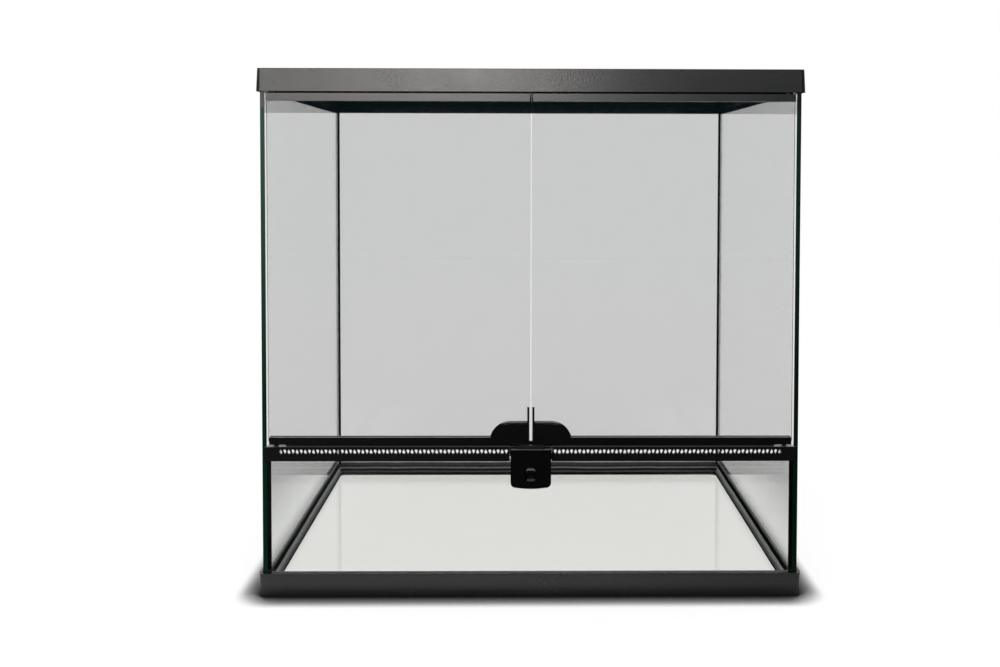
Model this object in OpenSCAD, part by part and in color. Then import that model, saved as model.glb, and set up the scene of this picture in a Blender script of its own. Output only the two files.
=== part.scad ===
// Front-opening glass terrarium with twin hinged doors, a vent strip with a sliding lock,
// a lift-off mesh lid and closable cable inlets.
// Millimetres. The origin is the middle of the footprint on the table, the front faces -Y and Z is up.

/* [Tank] */
// Width over the rims of both frames
tank_w = 603; // [450:1:900]
// Depth over the rims of both frames
tank_d = 450; // [350:10:600]
// Height from the table to the top rim
tank_h = 585; // [450:5:900]
// Radius of the frames' upright corners
corner_r = 5; // [4:0.5:8]

/* [Glass] */
// Thickness of the side panes
side_glass_t = 5; // [4:0.5:6]
// Thickness of the floor pane
floor_glass_t = 5; // [4:0.5:8]
// Thickness of the back pane
back_glass_t = 4; // [4:0.5:6]
// Thickness of the doors and of the window below them
front_glass_t = 4; // [3:0.5:5]
// Distance from the rims' sides to the side panes
side_inset = 4.5; // [3.2:0.1:5]
// Distance from the rims' front and back to the panes
front_inset = 3; // [2.9:0.1:4]
// Silicone gap between the end of one pane and the face of the next
joint_gap = 0.6; // [0.4:0.1:1]
// Height of the top edge of the front window
window_top = 157; // [100:1:220]

/* [Silicone] */
// Leg of the bead round the floor
floor_bead = 7; // [5:0.5:9]
// Leg of the beads in the back corners
back_bead = 3; // [2:0.5:5]
// Leg of the beads beside the front window
front_bead = 4; // [3:0.5:5]
// Thickness left at the edges of a bead
bead_edge = 0.4; // [0.3:0.1:0.6]

/* [Base frame] */
// Height of the base frame
base_h = 26.3; // [20:0.1:40]
// Wall of the base frame
base_wall = 2.8; // [2.5:0.1:2.8]
// How far the base frame's wall leans in at its foot
base_draft = 0.8; // [0:0.1:2]
// Reach of the flange that carries the glass, from the rim
flange_reach = 13; // [10:0.1:20]
// Thickness of the flange
flange_t = 2.5; // [2:0.1:3.5]
// Height of the flange above the table
flange_z = 1.5; // [1:0.1:6]
// Radius of the flange's inner corners
flange_corner_r = 8; // [4:1:12]
// Width of the skirt's foot
foot_w = 2.2; // [1.5:0.1:3]

/* [Top frame] */
// Height of the top frame
top_h = 25.2; // [22:0.1:32]
// Wall of the top frame
top_wall = 2.8; // [2.5:0.1:2.8]
// How far the top frame's wall leans in at its top
top_draft = 1.3; // [0:0.1:1.5]
// Radius of the top rim's outer edge
rim_edge_r = 0.7; // [0.3:0.1:1]
// Depth of the pocket that the lid lies in
pocket_depth = 10; // [9:0.5:12]
// Thickness of the ledge under the lid
ledge_t = 2.5; // [2:0.1:3]
// Width of the ledge behind the front rim
front_ledge_w = 20; // [16:1:30]
// Width of the deck along the back
deck_w = 49; // [46:1:60]
// Thickness of the deck
deck_t = 2.6; // [2:0.1:3]
// Width of the lowered step along the front of the deck, which carries the lid's catches
step_w = 16; // [14:1:18]
// Depth of that step
step_drop = 3.1; // [3:0.1:4]
// Thickness of the wall that holds the glass from inside
channel_wall = 2; // [1.5:0.1:3]
// Depth of the channel that holds the glass
channel_depth = 8.5; // [6:0.5:11]
// Clearance between the glass and the channel
channel_gap = 0.8; // [0.5:0.1:1.5]
// Spacing of the ribs behind the front rim
rib_pitch = 60; // [40:5:90]
// Thickness of the ribs
rib_t = 1.5; // [1:0.1:2]

/* [Vent strip] */
// Height of the strip
strip_h = 16; // [13:0.5:20]
// How far the strip reaches down over the window's edge
strip_grip = 5; // [4:0.5:8]
// Thickness of the strip's front plate
strip_t = 2.4; // [1.8:0.1:2.5]
// Thickness of the strip's webs
strip_web = 1.4; // [1.2:0.1:2]
// Distance from the middle of the tank to the strip's inner end
strip_start = 23.4; // [23.4:0.1:30]
// Distance from the strip's outer end to the side of the rims
strip_end_inset = 7.5; // [6:0.5:9]
// Spacing of the vent holes
vent_pitch = 4.53; // [4.2:0.01:6]
// Radius of a hole's round end
vent_r = 1.7; // [1.2:0.1:1.8]
// Radius of a hole's narrow end
vent_tip_r = 0.6; // [0.4:0.1:0.8]
// Height of a hole
vent_h = 4.9; // [4:0.1:5]
// Bare end of the strip before the first hole
vent_margin = 3.7; // [3:0.1:8]
// Length of the strip's outer end that has no holes
vent_end = 17; // [17:0.1:25]

/* [Doors] */
// Gap between the doors
door_gap = 1.4; // [1.2:0.1:4]
// Gap between a door and the side pane
door_side_gap = 1.8; // [1.7:0.1:4]
// Height of the doors' rails
rail_h = 8; // [7:0.5:12]
// Thickness of a rail's leg in front of and behind the pane
rail_leg = 2.8; // [2:0.1:2.9]
// Thickness of a rail's web over the edge of the pane
rail_web = 3; // [2.5:0.1:4]
// Gap between the vent strip and a door
door_low_gap = 2.5; // [2:0.1:4]
// Gap between a door and the top frame
door_top_gap = 2.2; // [1.6:0.1:4]
// Clearance between a pane and its rail
grip_gap = 0.1; // [0.05:0.05:0.3]
// Height of the lip that a door closes against
stop_h = 8; // [4:0.5:10]
// Thickness of that lip
stop_t = 1.5; // [1.2:0.1:2.5]
// Clearance between a closed door and the lip
stop_gap = 0.3; // [0.2:0.1:0.6]

/* [Door handles] */
// Half width of the flat top of the pair of handles
handle_flat = 22; // [10:0.5:40]
// Height of the handles above the rails
handle_h = 16.6; // [12:0.2:22]
// Radius of the handles' shoulders
handle_r = 24; // [23:0.5:32]
// Width of the step round the handle's edge
handle_step = 1.5; // [1:0.1:2]
// Depth of that step
handle_step_d = 1.2; // [0.6:0.1:1.4]
// Height of the bevel under the handle's top edge
handle_bevel = 4.4; // [3:0.2:7]
// Height of the upright fin above the handle
fin_rise = 16.8; // [8:0.2:30]
// Thickness of the fin
fin_t = 2.3; // [1.2:0.1:2.5]
// Distance that the fin stands out from the rail
fin_out = 0.8; // [0.2:0.1:1]

/* [Hinges] */
// Distance from the side pane to the hinge axis
hinge_inset = 10; // [9.8:0.1:11]
// Radius of the hinge pins
pin_r = 1.4; // [1.2:0.1:1.6]
// Running clearance round a pin
pin_clear = 0.05; // [0.03:0.01:0.08]
// Radius of a pin's collar
collar_r = 2.65; // [2.3:0.05:3]
// Wall of a hinge bush
bush_wall = 0.95; // [0.8:0.05:1.1]
// Length of a hinge bush
bush_l = 5.5; // [4:0.5:6.5]
// Half width of the block that carries a bush
bush_block = 3.8; // [3.6:0.1:4.4]

/* [Lock] */
// Half width of the lock box
lock_half_w = 22.2; // [21:0.1:23]
// Distance that the lock box stands out from the rims
lock_out = 11; // [9:0.5:14]
// Distance of the lock box's top below the top of the vent strips
lock_drop = 2.5; // [2:0.1:4]
// Height of the lock box
lock_h = 41; // [40:0.2:54]
// Rise of the lock box's curved bottom, measured without its round corners
lock_sag = 2.25; // [1:0.05:4]
// Radius of the lock box's lower corners
lock_corner_r = 5.5; // [3:0.1:8]
// Half width of the bolt
bolt_half_w = 15; // [11:0.5:16]
// Thickness of the bolt
bolt_t = 2; // [1.6:0.1:2.4]
// Sliding clearance round the bolt
bolt_clear = 0.3; // [0.2:0.05:0.4]
// Distance from the rims' front to the back of the bolt
bolt_gap = 1.2; // [1.1:0.1:1.6]
// Travel of the bolt from open to locked
bolt_travel = 3.3; // [2.8:0.1:4]
// Half width of the thumb recess
recess_half_w = 6.4; // [6:0.1:9]
// Height of the thumb recess beyond the button and its travel
recess_spare = 6.5; // [5.7:0.1:7.5]
// Radius of the thumb recess's corners
recess_r = 3; // [1:0.1:5]
// Half width of the thumb button
button_half_w = 5.2; // [4:0.1:5.6]
// Height of the thumb button
button_h = 7; // [6.6:0.1:8]
// Radius of the thumb button's corners
button_r = 3.1; // [1:0.1:3.2]
// Depth of the button's face in the recess
button_inset = 1.5; // [0.5:0.1:3]
// Radius of the lock's screws
screw_r = 1.25; // [1:0.05:1.5]

/* [Lid] */
// Clearance round the lid in its pocket
lid_clear = 1; // [0.6:0.1:2]
// Gap under the lid
lid_rest_gap = 0.3; // [0.2:0.05:0.5]
// Height of the lid's rim
lid_h = 6; // [5.5:0.1:6.2]
// Width of the lid's frame
lid_frame_w = 16; // [14:1:22]
// Width of the lid's raised rim
lid_rim_w = 5; // [4:0.5:6]
// Thickness of the lid's flange
lid_flange_t = 2.2; // [1.8:0.1:2.4]
// Thickness of the mesh wire
wire_d = 0.8; // [0.6:0.05:0.9]
// Spacing of the mesh wires
wire_pitch = 8; // [6:0.5:20]
// Gap between the layers of the mesh
wire_gap = 0.02; // [0.02:0.01:0.05]
// Width of the strip that clamps the mesh
clamp_w = 5; // [4:0.5:7]

/* [Lid catches] */
// Distance from the side of the rims to a catch's pivot
catch_side = 101.5; // [90:0.5:160]
// Length of a catch from its pivot
catch_l = 18; // [16:0.5:22]
// Half width of a catch
catch_half_w = 5; // [4:0.5:5.5]
// Thickness of a catch
catch_t = 2.3; // [1.8:0.1:2.4]
// Radius of a catch's pivot
catch_pin_r = 3; // [2:0.1:3.5]

/* [Cable inlets] */
// Distance from the side of the rims to the middle of a cable inlet
inlet_side = 151.5; // [110:0.5:160]
// Length of a cable inlet
inlet_l = 60; // [40:2:66]
// Width of a cable inlet
inlet_w = 14.5; // [10:0.5:15]
// Thickness of the shutters
shutter_t = 2; // [1.5:0.1:2.2]
// Length of a shutter past its inlet
shutter_lap = 4; // [2:0.5:8]
// Length of a shutter's finger tab
tab_l = 3.5; // [2.5:0.5:5]
// Sliding clearance of a shutter
shutter_clear = 0.3; // [0.2:0.05:0.4]
// Width of the feet that carry a shutter
shutter_foot = 2; // [1.5:0.1:2.5]

/* [Hidden] */
$fn = 48;

// Overlap that fuses two shapes of one solid
bite = 0.5;
// Extra length of a cut past the face it opens
past = 1;
// Gap between pieces that don't touch
free_gap = 0.3;
// Gap above the panes, under the lid's ledge
glass_slack = 0.5;
// Gap between a side pane and the pocket in the frames' corners
pane_slack = 0.1;

// Glass
pane_out_x = tank_w / 2 - side_inset;
pane_in_x = pane_out_x - side_glass_t;
front_y = -tank_d / 2 + front_inset;
front_in_y = front_y + front_glass_t;
back_y = tank_d / 2 - front_inset;
back_in_y = back_y - back_glass_t;
flange_top = flange_z + flange_t;
floor_top = flange_top + floor_glass_t;
ledge_z = tank_h - pocket_depth;
ledge_low = ledge_z - ledge_t;
glass_top = ledge_low - glass_slack;
channel_low = ledge_low - channel_depth;
rim_low = tank_h - top_h;

// Vent strip and doors
seat_gap = 0.2;
rail_setback = 1.3;
rail_overhang = 1.1;
plate_y = -tank_d / 2;
strip_low = window_top - strip_grip;
strip_top = strip_low + strip_h;
front_seam_top = strip_low - free_gap;
strip_end = tank_w / 2 - strip_end_inset;
web_z = window_top + seat_gap;
web_end = pane_in_x - joint_gap;
leg_y = front_in_y + free_gap;
rail_low = strip_top + door_low_gap;
rail_top = rail_low + rail_h;
top_rail_top = rim_low - door_top_gap;
top_rail_low = top_rail_top - rail_h;
rail_y = front_y - rail_leg;
rail_back_y = front_in_y + rail_leg;
stop_y = rail_back_y + stop_gap;
door_out_x = pane_in_x - door_side_gap;
rail_out_x = door_out_x - rail_setback;
rail_in_x = door_gap / 2 + rail_overhang;
handle_top = rail_top + handle_h;

// Hinges
hinge_x = pane_in_x - hinge_inset;
hinge_y = front_y + front_glass_t / 2;
bush_r = pin_r + pin_clear + bush_wall;
bush_flange_r = bush_r + 1;
bush_flange_t = 0.6;
seat_clear = 0.03;
stop_end_gap = 10;
stop_end = hinge_x - stop_end_gap;
upper_bush_low = rim_low + seat_gap;
collar_gap = 0.3;
pin_end_gap = 0.5;

// Lock
lock_y = -tank_d / 2 - lock_out;
lock_top = strip_top - lock_drop;
lock_low = lock_top - lock_h;
lock_arc_r = (pow(lock_half_w, 2) + pow(lock_sag, 2)) / (2 * lock_sag);
bolt_y = plate_y - bolt_gap - bolt_t;
bolt_top = rail_low - free_gap;
bolt_foot = 5.1;
bolt_low = lock_low + bolt_foot;
lock_back_y = front_y - free_gap;
button_foot = 12.3;
button_low = lock_low + button_foot;
recess_margin = 3.6;
recess_h = button_h + bolt_travel + recess_spare;
recess_low = button_low - recess_margin;
clip_half_w = 18;
clip_drop = 3;
clip_top = strip_top - clip_drop;
plate_back_t = 2;
plate_back_y = front_in_y + grip_gap;
plate_drop = 24;
plate_ear_r = 4;
// The stop behind the doors' free ends, in line with the strips' lips
mid_lip_rise = 1.5;
mid_lip_top = rail_low + mid_lip_rise;
mid_lip_low = strip_top - 2 * strip_web;
// Tabs beside the lock box that close the upper part of the gaps to the strips
tab_h = 10.5;
tab_low = strip_top - tab_h;
tab_end_x = strip_start - free_gap;
tab_t = 2.2;
screw_x = 11;
screw_z = (web_z + clip_top) / 2;

// Lid pocket and deck
pocket_x = tank_w / 2 - top_wall;
pocket_y = -tank_d / 2 + top_wall;
deck_y = tank_d / 2 - deck_w;
step_top = tank_h - step_drop;
riser_y = deck_y + step_w;
ledge_in_x = pane_in_x - channel_gap - channel_wall;
back_channel_y = back_in_y - channel_gap - channel_wall;
lid_x = pocket_x - lid_clear;
lid_y = pocket_y + lid_clear;
lid_back_y = deck_y - lid_clear;
lid_z = ledge_z + lid_rest_gap;
warp_z = lid_z + lid_flange_t + wire_gap + wire_d / 2;
weft_z = warp_z + wire_d + wire_gap;
clamp_low = weft_z + wire_d / 2 + wire_gap;
clamp_in = lid_rim_w + free_gap;
wire_end_gap = 0.5;

// Lid catches
catch_x = tank_w / 2 - catch_side;
catch_y = deck_y + step_w / 2;
catch_z = step_top + free_gap;
catch_head = 1;
neck_step = 0.8;
catch_neck_r = catch_pin_r - neck_step;
slot_w = 1;
slot_d = 0.8;

// Cable inlets
inlet_x = tank_w / 2 - inlet_side;
shutter_side_gap = 0.4;
shutter_y = riser_y + channel_wall + shutter_side_gap;
shutter_back_y = back_channel_y - shutter_side_gap;
inlet_y = (shutter_y + shutter_back_y) / 2;
shutter_z = tank_h - deck_t - shutter_clear - shutter_t;
foot_t = 1.5;
foot_z = shutter_z - shutter_clear - foot_t;
foot_lap = 2;
shutter_l = inlet_l + shutter_lap;
grip_end = inlet_x + inlet_l / 2 - shutter_clear;
shutter_start = grip_end - tab_l;
tab_gap = 1;
tab_drop = 0.4;

// Colours
black = [0.06, 0.06, 0.065];
pane = [0.62, 0.82, 0.76, 0.35];
seam = [0.03, 0.03, 0.03];
steel = [0.7, 0.7, 0.72];

// ---- Shapes that several pieces use ----

// A rectangle with round corners, centred
module round_rect(w, d, r) {
    square([w - 2 * r, d], center = true);
    square([w, d - 2 * r], center = true);
    for (x = [-1, 1], y = [-1, 1])
        translate([x * (w / 2 - r), y * (d / 2 - r)]) circle(r);
}

// A straight bar from a section drawn in Y and Z, between two X positions
module bar_x(x0, x1) {
    translate([x0, 0, 0]) rotate([90, 0, 90]) linear_extrude(x1 - x0) children();
}

// A plate from an outline drawn in X and Z, between two Y positions
module plate_y(y0, y1) {
    translate([0, y1, 0]) rotate([90, 0, 0]) linear_extrude(y1 - y0) children();
}

// A wall section swept round a rectangle with round corners.
// The section's X is the distance in from the outside, and its Y is the height.
module swept_wall(w, d, r) {
    for (s = [0, 1]) {
        mirror([0, s, 0]) translate([0, -d / 2, 0]) bar_x(r - w / 2, w / 2 - r) children();
        mirror([s, 0, 0]) translate([-w / 2, 0, 0]) plate_y(r - d / 2, d / 2 - r) children();
    }
    for (q = [0 : 3]) {
        sx = (q == 0 || q == 3) ? 1 : -1;
        sy = q < 2 ? 1 : -1;
        translate([sx * (w / 2 - r), sy * (d / 2 - r), 0]) rotate([0, 0, 90 * q])
            rotate_extrude(angle = 90) translate([r, 0]) mirror([1, 0]) children();
    }
}

// A silicone fillet in the corner at the origin, along +X and +Y, with a hollow face
module bead_section(leg) {
    difference() {
        square(leg);
        translate([leg, leg]) circle(leg - bead_edge);
    }
}

// Draws its children on the right, or mirrored on the left
module on_side(side) {
    mirror([side < 0 ? 1 : 0, 0, 0]) children();
}

// A pocket with square corners round the side panes, cut into the frames' round inner corners
module pane_pocket(low, high) {
    translate([0, 0, (low + high) / 2])
        cube([2 * pane_out_x + 2 * pane_slack, 2 * back_y + 2 * pane_slack, high - low], center = true);
}

// ---- Base ----

module base_wall_section() {
    polygon([
        [base_draft, 0],
        [0, base_h],
        [base_wall, base_h],
        [base_wall, flange_z],
        [base_draft + foot_w, flange_z],
        [base_draft + foot_w, 0]
    ]);
}

module base_frame() {
    color(black) {
        difference() {
            swept_wall(tank_w, tank_d, corner_r) base_wall_section();
            pane_pocket(flange_top, base_h + past);
        }
        translate([0, 0, flange_z]) linear_extrude(flange_t) difference() {
            square([tank_w - 2 * base_wall + bite, tank_d - 2 * base_wall + bite], center = true);
            round_rect(tank_w - 2 * flange_reach, tank_d - 2 * flange_reach, flange_corner_r);
        }
    }
}

module floor_glass() {
    w = 2 * (pane_in_x - joint_gap);
    d = back_in_y - front_in_y - 2 * joint_gap;
    color(pane) translate([-w / 2, front_in_y + joint_gap, flange_top]) cube([w, d, floor_glass_t]);
}

module side_glass() {
    color(pane) translate([pane_in_x, front_y, flange_top])
        cube([side_glass_t, back_y - front_y, glass_top - flange_top]);
}

module left_side_glass() {
    on_side(-1) side_glass();
}

module right_side_glass() {
    on_side(1) side_glass();
}

module back_glass() {
    w = 2 * (pane_in_x - joint_gap);
    color(pane) translate([-w / 2, back_in_y, flange_top])
        cube([w, back_glass_t, glass_top - flange_top]);
}

module front_window_glass() {
    w = 2 * (pane_in_x - joint_gap);
    color(pane) translate([-w / 2, front_y, flange_top])
        cube([w, front_glass_t, window_top - flange_top]);
}

// ---- Silicone ----

module floor_seam() {
    color(seam) translate([0, 0, floor_top]) {
        translate([0, front_in_y, 0]) bar_x(-pane_in_x, pane_in_x) bead_section(floor_bead);
        translate([0, back_in_y, 0]) mirror([0, 1, 0]) bar_x(-pane_in_x, pane_in_x)
            bead_section(floor_bead);
        for (side = [-1, 1]) on_side(side) translate([pane_in_x, 0, 0]) mirror([1, 0, 0])
            plate_y(front_in_y, back_in_y) bead_section(floor_bead);
    }
}

// An upright bead in the right-hand corner where a pane's face is at y, and the filled joint beside
// that pane. The bead lies towards dir in Y and the pane's thickness lies the other way.
// The bead ends at bead_top and the joint at top.
module corner_seam(y, dir, leg, thick, bead_top, top) {
    bead_z = floor_top + floor_bead;
    color(seam) {
        translate([pane_in_x, y, bead_z]) mirror([1, 0, 0]) mirror([0, dir < 0 ? 1 : 0, 0])
            linear_extrude(bead_top - bead_z) bead_section(leg);
        translate([pane_in_x - joint_gap, dir < 0 ? y : y - thick, flange_top])
            cube([joint_gap, thick, top - flange_top]);
    }
}

module back_left_seam() {
    on_side(-1) corner_seam(back_in_y, -1, back_bead, back_glass_t, channel_low - free_gap, glass_top);
}

module back_right_seam() {
    on_side(1) corner_seam(back_in_y, -1, back_bead, back_glass_t, channel_low - free_gap, glass_top);
}

module front_left_seam() {
    on_side(-1) corner_seam(front_in_y, 1, front_bead, front_glass_t, front_seam_top, front_seam_top);
}

module front_right_seam() {
    on_side(1) corner_seam(front_in_y, 1, front_bead, front_glass_t, front_seam_top, front_seam_top);
}

// ---- Top frame ----

module top_wall_section() {
    difference() {
        polygon([
            [0, rim_low],
            [top_draft, tank_h],
            [top_wall, tank_h],
            [top_wall, rim_low]
        ]);
        translate([top_draft - 1, tank_h - rim_edge_r]) difference() {
            square([1 + rim_edge_r, rim_edge_r + 1]);
            translate([1 + rim_edge_r, 0]) circle(rim_edge_r);
        }
    }
}

// The cross member along the back: ledge, pocket wall, lowered step, riser and deck
module deck_section() {
    polygon([
        [deck_y - 10, ledge_low],
        [deck_y + channel_wall, ledge_low],
        [deck_y + channel_wall, step_top - deck_t],
        [riser_y + channel_wall, step_top - deck_t],
        [riser_y + channel_wall, tank_h - deck_t],
        [tank_d / 2 - top_wall + bite, tank_h - deck_t],
        [tank_d / 2 - top_wall + bite, tank_h],
        [riser_y, tank_h],
        [riser_y, step_top],
        [deck_y, step_top],
        [deck_y, ledge_z],
        [deck_y - 10, ledge_z]
    ]);
}

// The ledge that the lid lies on, along the front and both sides
module lid_ledge() {
    translate([0, 0, ledge_low]) linear_extrude(ledge_t) difference() {
        square([tank_w - 2 * top_wall + bite, tank_d - 2 * top_wall + bite], center = true);
        translate([-ledge_in_x, pocket_y + front_ledge_w])
            square([2 * ledge_in_x, back_channel_y - pocket_y - front_ledge_w]);
        translate([-ledge_in_x, 0]) square([2 * ledge_in_x, tank_d / 2 - top_wall - 0.01]);
    }
}

// The walls that hold the side and back panes from inside
module glass_channel() {
    for (side = [-1, 1]) on_side(side)
        translate([ledge_in_x, stop_y, channel_low])
            cube([channel_wall, back_channel_y + channel_wall - stop_y, channel_depth + bite]);
    translate([-ledge_in_x - bite, back_channel_y, channel_low])
        cube([2 * (ledge_in_x + bite), channel_wall, tank_h - deck_t + bite - channel_low]);
}

// The lip that the doors' top rails close against, with the ribs that stiffen it.
// Beside the hinges only its upper part goes on, clear of the turning rails.
module top_stop() {
    lip_t = 2;
    rib_rise = 2;
    low = top_rail_top - stop_h;
    high_low = top_rail_top + free_gap;
    end_x = ledge_in_x + bite;
    translate([-stop_end, stop_y, low]) cube([2 * stop_end, lip_t, ledge_z - low]);
    translate([-end_x, stop_y, high_low]) cube([2 * end_x, lip_t, ledge_low + bite - high_low]);
    ribs = floor((stop_end - rib_t) / rib_pitch);
    for (i = [-ribs : ribs])
        translate([i * rib_pitch - rib_t / 2, pocket_y - bite, rim_low + rib_rise])
            cube([rib_t, stop_y - pocket_y + 2 * bite, ledge_low + bite - rim_low - rib_rise]);
}

// The feet that a shutter slides on, on both sides of the inlet
module shutter_feet() {
    x0 = inlet_x - inlet_l / 2 - foot_lap;
    x1 = shutter_start + shutter_l + foot_lap;
    bar_x(x0, x1) {
        translate([riser_y + channel_wall - bite, foot_z]) square([shutter_foot + bite, foot_t]);
        translate([riser_y, foot_z]) square([channel_wall, step_top - deck_t + bite - foot_z]);
        translate([back_channel_y - shutter_foot, foot_z]) square([shutter_foot + bite, foot_t]);
    }
}

module top_frame() {
    seat_z = upper_bush_low + bush_flange_t;
    color(black) difference() {
        union() {
            difference() {
                swept_wall(tank_w, tank_d, corner_r) top_wall_section();
                pane_pocket(rim_low - past, glass_top + seat_gap);
            }
            lid_ledge();
            bar_x(-pocket_x - bite, pocket_x + bite) deck_section();
            glass_channel();
            top_stop();
            for (side = [-1, 1]) on_side(side) {
                shutter_feet();
                translate([hinge_x - bush_block, pocket_y - bite, seat_z])
                    cube([2 * bush_block, hinge_y + bush_block - pocket_y + bite, ledge_low + bite - seat_z]);
            }
        }
        for (side = [-1, 1]) on_side(side) {
            translate([hinge_x, hinge_y, seat_z - past])
                cylinder(r = bush_r + seat_clear, h = bush_l + free_gap + past);
            translate([hinge_x, hinge_y, rim_low - past])
                cylinder(r = bush_flange_r + seat_clear, h = seat_z - rim_low + past);
            translate([inlet_x - inlet_l / 2, inlet_y - inlet_w / 2, tank_h - deck_t - past])
                cube([inlet_l, inlet_w, deck_t + 2 * past]);
            translate([catch_x, catch_y, step_top - deck_t - past])
                cylinder(r = catch_pin_r + pin_clear, h = deck_t + 2 * past);
        }
    }
}

// ---- Vent strips ----

// A hole with one round and one narrow end, round end up
module vent_hole() {
    up = vent_h / 2 - vent_r;
    down = vent_h / 2 - vent_tip_r;
    // The sides meet both ends a little inside their widest points
    side = 0.96;
    translate([0, up]) circle(vent_r);
    translate([0, -down]) circle(vent_tip_r);
    polygon([
        [side * vent_r, up],
        [side * vent_tip_r, -down],
        [-side * vent_tip_r, -down],
        [-side * vent_r, up]
    ]);
}

module strip_section() {
    translate([plate_y, strip_low]) square([strip_t, strip_h]);
    translate([plate_y, web_z]) square([leg_y + strip_web - plate_y, strip_web]);
    translate([leg_y, strip_low]) square([strip_web, web_z + strip_web - strip_low]);
}

module strip_roof() {
    translate([plate_y, strip_top - strip_web]) square([stop_y + stop_t - plate_y, strip_web]);
}

// The lip that a door's bottom rail closes against
module strip_lip() {
    translate([stop_y, strip_top - strip_web]) square([stop_t, strip_web + stop_h]);
}

module vent_strip() {
    hole_z = (web_z + strip_web + strip_top - strip_web) / 2;
    first = strip_start + vent_margin;
    holes = floor((strip_end - vent_end - first) / vent_pitch);
    color(black) difference() {
        union() {
            bar_x(strip_start, strip_end) translate([plate_y, strip_low]) square([strip_t, strip_h]);
            bar_x(strip_start, web_end) strip_section();
            bar_x(strip_start, web_end) strip_roof();
            bar_x(strip_start, stop_end) strip_lip();
            translate([hinge_x - bush_block, plate_y + bite, web_z + bite])
                cube([2 * bush_block, hinge_y + bush_block - plate_y - bite, strip_top - web_z - bite]);
        }
        translate([hinge_x, hinge_y, strip_top - bush_l])
            cylinder(r = bush_r + seat_clear, h = bush_l + past);
        for (i = [0 : holes])
            translate([first + i * vent_pitch, 0, hole_z]) mirror([0, 0, i % 2])
                plate_y(plate_y - past, plate_y + strip_t + 0.1) vent_hole();
    }
}

module left_vent_strip() {
    on_side(-1) vent_strip();
}

module right_vent_strip() {
    on_side(1) vent_strip();
}

// ---- Lock ----

// The lock box seen from the front: a shallow arc below, with round corners that lie on it
module lock_outline() {
    corner_x = lock_half_w - lock_corner_r;
    // The corners sit a little low, so that they cross the arc instead of just touching it
    dip = 0.1;
    reach = sqrt(pow(lock_arc_r - lock_corner_r, 2) - pow(corner_x, 2));
    corner_z = lock_low + lock_arc_r - reach - dip;
    intersection() {
        translate([-corner_x, lock_low]) square([2 * corner_x, lock_h]);
        translate([0, lock_low + lock_arc_r]) circle(lock_arc_r, $fn = 240);
    }
    for (x = [-corner_x, corner_x]) translate([x, corner_z]) circle(lock_corner_r);
    translate([-lock_half_w, corner_z]) square([2 * lock_half_w, lock_top - corner_z]);
}

module lock_housing() {
    pocket_half = bolt_half_w + bolt_clear;
    color(black) difference() {
        union() {
            plate_y(lock_y, lock_back_y) lock_outline();
            translate([-clip_half_w, lock_back_y - bite, web_z])
                cube([2 * clip_half_w, plate_back_y - lock_back_y + bite, clip_top - web_z]);
            translate([-tab_end_x, lock_back_y - tab_t, tab_low])
                cube([2 * tab_end_x, tab_t, strip_top - tab_low]);
        }
        translate([-pocket_half, bolt_y - bolt_clear, bolt_low - bolt_clear])
            cube([2 * pocket_half, bolt_t + 2 * bolt_clear, lock_top + past - bolt_low + bolt_clear]);
        plate_y(lock_y - past, bolt_y) translate([0, recess_low + recess_h / 2])
            round_rect(2 * recess_half_w, recess_h, recess_r);
        for (x = [-screw_x, screw_x])
            translate([x, plate_back_y + past, screw_z]) rotate([90, 0, 0])
                cylinder(r = screw_r + pin_clear, h = past + plate_back_y - front_y + seat_gap);
    }
}

// The plate behind the window glass, with the stop behind the doors' free ends along its top
module lock_back_plate() {
    low = screw_z - plate_drop;
    half_w = clip_half_w + plate_ear_r / 2;
    color(black) difference() {
        union() {
            plate_y(plate_back_y, plate_back_y + plate_back_t) {
                translate([-half_w, low + plate_ear_r])
                    square([2 * half_w, mid_lip_low + bite - low - plate_ear_r]);
                translate([plate_ear_r - half_w, low])
                    square([2 * (half_w - plate_ear_r), plate_ear_r + past]);
                for (x = [-1, 1]) translate([x * (half_w - plate_ear_r), low + plate_ear_r])
                    circle(plate_ear_r);
            }
            bar_x(-lock_half_w, lock_half_w) {
                translate([plate_back_y, mid_lip_low])
                    square([stop_y + stop_t - plate_back_y, strip_top - mid_lip_low]);
                translate([stop_y, mid_lip_low]) square([stop_t, mid_lip_top - mid_lip_low]);
            }
        }
        for (x = [-screw_x, screw_x])
            translate([x, plate_back_y + plate_back_t + past, screw_z]) rotate([90, 0, 0])
                cylinder(r = screw_r + seat_gap, h = plate_back_t + 2 * past);
    }
}

// Pan-headed screws with a cross recess, driven from inside the tank
module lock_screws() {
    screw_head = 1;
    screw_end_gap = 0.5;
    color(steel) for (x = [-screw_x, screw_x])
        translate([x, plate_back_y + plate_back_t, screw_z]) rotate([90, 0, 0]) difference() {
            union() {
                cylinder(r = screw_r, h = plate_back_t + front_glass_t - screw_end_gap);
                translate([0, 0, -screw_head]) cylinder(r = 2 * screw_r, h = screw_head);
            }
            for (a = [0, 90]) rotate([0, 0, a]) translate([0, 0, -screw_head])
                cube([2.6 * screw_r, 0.6, screw_head], center = true);
        }
}

module lock_bolt() {
    color(black) {
        translate([-bolt_half_w, bolt_y, bolt_low]) cube([2 * bolt_half_w, bolt_t, bolt_top - bolt_low]);
        plate_y(lock_y + button_inset, bolt_y + bite) translate([0, button_low + button_h / 2])
            round_rect(2 * button_half_w, button_h, button_r);
    }
}

// ---- Hinge bushes ----

module bush(flange) {
    color(seam) difference() {
        union() {
            cylinder(r = bush_r, h = bush_l);
            if (flange) translate([0, 0, -bush_flange_t]) cylinder(r = bush_flange_r, h = bush_flange_t);
        }
        translate([0, 0, -past]) cylinder(r = pin_r + pin_clear, h = bush_l + 2 * past);
    }
}

module upper_bush() {
    translate([hinge_x, hinge_y, upper_bush_low + bush_flange_t]) bush(true);
}

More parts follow.
